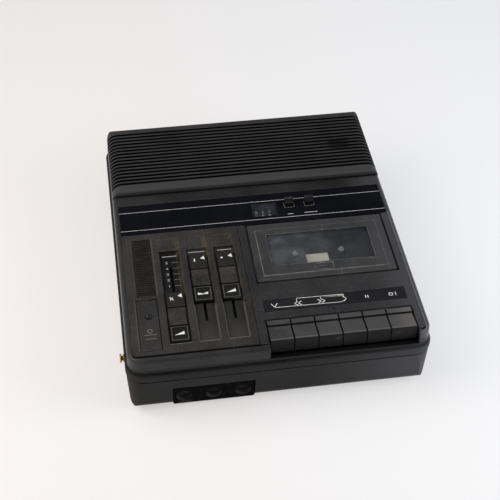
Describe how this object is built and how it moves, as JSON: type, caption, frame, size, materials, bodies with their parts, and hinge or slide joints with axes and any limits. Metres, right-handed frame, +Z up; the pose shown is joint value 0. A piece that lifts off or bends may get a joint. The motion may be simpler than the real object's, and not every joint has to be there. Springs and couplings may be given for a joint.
{
  "type": "portable cassette recorder",
  "caption": "Flat portable cassette recorder with ribbed loudspeaker grille, slider controls, hinged cassette lid and a row of piano keys.",
  "frame": {"origin": "on the table, under the middle of the case", "axes": "+X right, +Y to the rear, +Z up"},
  "size_m": [0.2636, 0.305, 0.075],
  "materials": {
    "case_plastic": "fine-grained dark grey-black moulding",
    "grille_plastic": "ribbed dark moulding",
    "panel_plastic": "grained dark panel, slightly dusty",
    "key_plastic": "worn dark grey moulding",
    "knob_plastic": "satin black with white print",
    "gloss_black": "glossy blue-black",
    "trim_black": "flat black trim",
    "counter_black": "black with white figures",
    "smoked_clear": "smoked clear plastic",
    "lamp_red": "dark red lens",
    "cream": "cream reflector",
    "plated_steel": "zinc-plated sheet",
    "bright_steel": "ground and plated",
    "brass": "tarnished brass",
    "spindle_plastic": "dark grey acetal",
    "rubber": "black rubber",
    "board": "brown laminate",
    "painted_frame": "grey painted sheet",
    "cone_paper": "black pressed paper",
    "core_steel": "varnished laminations"
  },
  "bodies": {
    "case": {"bottom_shell": "case_plastic", "middle_frame": "case_plastic", "upper_shell": "case_plastic", "grille_cover": "grille_plastic", "fascia_strip": "gloss_black", "control_panel": "panel_plastic", "deck_panel": "panel_plastic", "mic_louvre": "trim_black", "microphone": "plated_steel", "indicator_plate": "trim_black", "indicator_lamp": "lamp_red", "symbol_strip": "gloss_black", "lid_hinge_pin": "bright_steel", "key_axle": "bright_steel", "slide_potentiometers": "plated_steel", "counter_frame": "trim_black", "counter_window": "smoked_clear", "counter_shaft": "bright_steel", "cassette_well": "trim_black", "reflector": "cream", "deck_chassis": "plated_steel", "capstan_bearing": "brass", "flywheel_bracket": "plated_steel", "motor": "plated_steel", "drive_belt": "rubber", "main_board": "board", "loudspeaker_frame": "painted_frame", "loudspeaker_cone": "cone_paper", "transformer": "core_steel", "mains_inlet": "trim_black", "din_sockets": "trim_black", "battery_contacts": "bright_steel", "strap_stud": "brass", "rubber_feet": "rubber", "case_screws": "bright_steel"},
    "lid": {"lid_frame": "panel_plastic", "lid_window": "smoked_clear"},
    "record_key": {"record_key": "key_plastic"},
    "rewind_key": {"rewind_key": "key_plastic"},
    "forward_key": {"forward_key": "key_plastic"},
    "play_key": {"play_key": "key_plastic"},
    "pause_key": {"pause_key": "key_plastic"},
    "stop_key": {"stop_key": "key_plastic"},
    "volume_knob": {"volume_knob": "knob_plastic"},
    "tone_knob": {"tone_knob": "knob_plastic"},
    "level_knob": {"level_knob": "knob_plastic"},
    "reset_button": {"reset_button": "knob_plastic"},
    "speaker_button": {"speaker_button": "knob_plastic"},
    "counter_wheel_ones": {"counter_wheel_ones": "counter_black"},
    "counter_wheel_tens": {"counter_wheel_tens": "counter_black"},
    "counter_wheel_hundreds": {"counter_wheel_hundreds": "counter_black"},
    "supply_spindle": {"supply_spindle": "spindle_plastic"},
    "takeup_spindle": {"takeup_spindle": "spindle_plastic"},
    "capstan_flywheel": {"capstan_flywheel": "plated_steel"},
    "motor_pulley": {"motor_pulley": "brass"},
    "battery_door": {"battery_door": "case_plastic"},
    "head_slide": {"head_bridge": "plated_steel", "tape_heads": "bright_steel", "pinch_arm": "plated_steel"},
    "pinch_roller": {"pinch_roller": "rubber"}
  },
  "joints": [
    {"name": "lid_hinge", "type": "hinge", "parent": "case", "child": "lid", "pos_m": [0.05325, -0.0028, 0.0654], "axis": [-1, 0, 0], "range_deg": [0, 60]},
    {"name": "record_key_press", "type": "hinge", "parent": "case", "child": "record_key", "pos_m": [0.0008, -0.1, 0.054], "axis": [1, 0, 0], "range_deg": [0, 8], "stiffness_Nm_per_rad": 0.5, "springref_deg": -11.46},
    {"name": "rewind_key_press", "type": "hinge", "parent": "case", "child": "rewind_key", "pos_m": [0.0213, -0.1, 0.054], "axis": [1, 0, 0], "range_deg": [0, 8], "stiffness_Nm_per_rad": 0.5, "springref_deg": -11.46},
    {"name": "forward_key_press", "type": "hinge", "parent": "case", "child": "forward_key", "pos_m": [0.0418, -0.1, 0.054], "axis": [1, 0, 0], "range_deg": [0, 8], "stiffness_Nm_per_rad": 0.5, "springref_deg": -11.46},
    {"name": "play_key_press", "type": "hinge", "parent": "case", "child": "play_key", "pos_m": [0.0623, -0.1, 0.054], "axis": [1, 0, 0], "range_deg": [0, 8], "stiffness_Nm_per_rad": 0.5, "springref_deg": -11.46},
    {"name": "pause_key_press", "type": "hinge", "parent": "case", "child": "pause_key", "pos_m": [0.0828, -0.1, 0.054], "axis": [1, 0, 0], "range_deg": [0, 8], "stiffness_Nm_per_rad": 0.5, "springref_deg": -11.46},
    {"name": "stop_key_press", "type": "hinge", "parent": "case", "child": "stop_key", "pos_m": [0.1045, -0.1, 0.054], "axis": [1, 0, 0], "range_deg": [0, 8], "stiffness_Nm_per_rad": 0.5, "springref_deg": -11.46},
    {"name": "volume_knob_slide", "type": "slide", "parent": "case", "child": "volume_knob", "axis": [0, 1, 0], "range_m": [0, 0.043]},
    {"name": "tone_knob_slide", "type": "slide", "parent": "case", "child": "tone_knob", "axis": [0, 1, 0], "range_m": [-0.043, 0]},
    {"name": "level_knob_slide", "type": "slide", "parent": "case", "child": "level_knob", "axis": [0, 1, 0], "range_m": [-0.043, 0]},
    {"name": "reset_button_press", "type": "slide", "parent": "case", "child": "reset_button", "axis": [0, 0, -1], "range_m": [0, 0.0025], "stiffness_N_per_m": 250, "springref_m": -0.002},
    {"name": "speaker_button_press", "type": "slide", "parent": "case", "child": "speaker_button", "axis": [0, 0, -1], "range_m": [0, 0.0025], "stiffness_N_per_m": 250, "springref_m": -0.002},
    {"name": "supply_spin", "type": "hinge", "parent": "case", "child": "supply_spindle", "pos_m": [0.0308, -0.0334, 0.055], "axis": [0, 0, 1], "continuous": true},
    {"name": "takeup_spin", "type": "hinge", "parent": "case", "child": "takeup_spindle", "pos_m": [0.0733, -0.0334, 0.055], "axis": [0, 0, 1], "continuous": true},
    {"name": "counter_wheel_hundreds_spin", "type": "hinge", "parent": "case", "child": "counter_wheel_hundreds", "pos_m": [0.00375, 0.0193, 0.0574], "axis": [1, 0, 0], "continuous": true},
    {"name": "counter_wheel_tens_spin", "type": "hinge", "parent": "case", "child": "counter_wheel_tens", "pos_m": [0.00975, 0.0193, 0.0574], "axis": [1, 0, 0], "continuous": true},
    {"name": "counter_wheel_ones_spin", "type": "hinge", "parent": "case", "child": "counter_wheel_ones", "pos_m": [0.01575, 0.0193, 0.0574], "axis": [1, 0, 0], "continuous": true},
    {"name": "flywheel_spin", "type": "hinge", "parent": "case", "child": "capstan_flywheel", "pos_m": [0.07555, -0.062, 0.036], "axis": [0, 0, 1], "continuous": true},
    {"name": "motor_spin", "type": "hinge", "parent": "case", "child": "motor_pulley", "pos_m": [0.01005, -0.062, 0.036], "axis": [0, 0, 1], "continuous": true},
    {"name": "head_slide_travel", "type": "slide", "parent": "case", "child": "head_slide", "axis": [0, 1, 0], "range_m": [0, 0.006]},
    {"name": "pinch_spin", "type": "hinge", "parent": "head_slide", "child": "pinch_roller", "pos_m": [0.07555, -0.0762, 0.058], "axis": [0, 0, 1], "continuous": true},
    {"name": "battery_door_slide", "type": "slide", "parent": "case", "child": "battery_door", "axis": [0, 1, 0], "range_m": [0, 0.056]}
  ],
  "couplings": [
    {"joint": "counter_wheel_ones_spin", "follows": "takeup_spin", "ratio": 0.5},
    {"joint": "counter_wheel_tens_spin", "follows": "takeup_spin", "ratio": 0.05},
    {"joint": "counter_wheel_hundreds_spin", "follows": "takeup_spin", "ratio": 0.005},
    {"joint": "motor_spin", "follows": "flywheel_spin", "ratio": 5.6},
    {"joint": "pinch_spin", "follows": "flywheel_spin", "ratio": -0.19231},
    {"joint": "head_slide_travel", "follows": "play_key_press", "m_per_rad": 0.0429}
  ]
}
